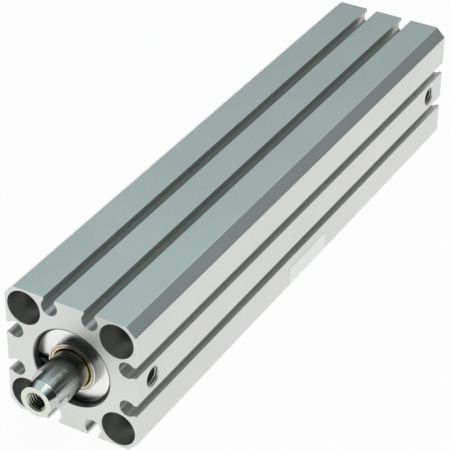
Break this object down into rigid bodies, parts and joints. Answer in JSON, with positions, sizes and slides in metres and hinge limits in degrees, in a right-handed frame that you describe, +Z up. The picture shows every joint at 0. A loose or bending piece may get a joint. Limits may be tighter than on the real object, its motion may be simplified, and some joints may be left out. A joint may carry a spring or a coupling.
{
  "type": "compact pneumatic cylinder",
  "caption": "Compact double-acting air cylinder: square slotted barrel with through holes at the corners, side ports, and a chromed rod with wrench flats and a threaded end that slides out.",
  "frame": {"origin": "on the rod's axis, in the plane of the barrel's front mounting face", "axes": "+X to the side with the air ports, +Y along the barrel to the rear, +Z up; the rod leaves the front face along -Y"},
  "size_m": [0.0361, 0.1825, 0.036],
  "materials": {
    "anodised_barrel": "satin clear anodised",
    "machined_cover": "bright turned",
    "chromed_rod": "polished hard chrome",
    "bush_bronze": "sintered bronze",
    "black_spring_steel": "black phosphate",
    "seal_rubber": "matt nitrile rubber",
    "bumper_rubber": "soft urethane",
    "piston_alloy": "turned",
    "wear_resin": "low-friction resin",
    "bonded_magnet": "bonded magnet",
    "plated_steel": "zinc plated",
    "sticker_film": "satin film"
  },
  "bodies": {
    "barrel": {"barrel": "anodised_barrel", "rod_cover": "machined_cover", "rod_bush": "bush_bronze", "rod_seal": "seal_rubber", "rod_cover_oring": "seal_rubber", "rod_cover_snap_ring": "black_spring_steel", "front_bumper": "bumper_rubber", "head_cover": "machined_cover", "head_cover_oring": "seal_rubber", "head_cover_snap_ring": "black_spring_steel", "rear_bumper": "bumper_rubber", "blank_label": "sticker_film"},
    "piston_rings": {"piston_seal": "seal_rubber", "wear_ring": "wear_resin"},
    "rod": {"piston_rod": "chromed_rod", "piston_front": "piston_alloy", "piston_rear": "piston_alloy", "magnet_ring": "bonded_magnet", "piston_rod_oring": "seal_rubber", "piston_washer": "plated_steel", "piston_nut": "plated_steel"}
  },
  "joints": [
    {"name": "rod_slide", "type": "slide", "parent": "barrel", "child": "piston_rings", "axis": [0, -1, 0], "range_m": [0, 0.125]},
    {"name": "rod_spin", "type": "hinge", "parent": "piston_rings", "child": "rod", "pos_m": [0, 0, 0], "axis": [0, -1, 0], "continuous": true}
  ]
}
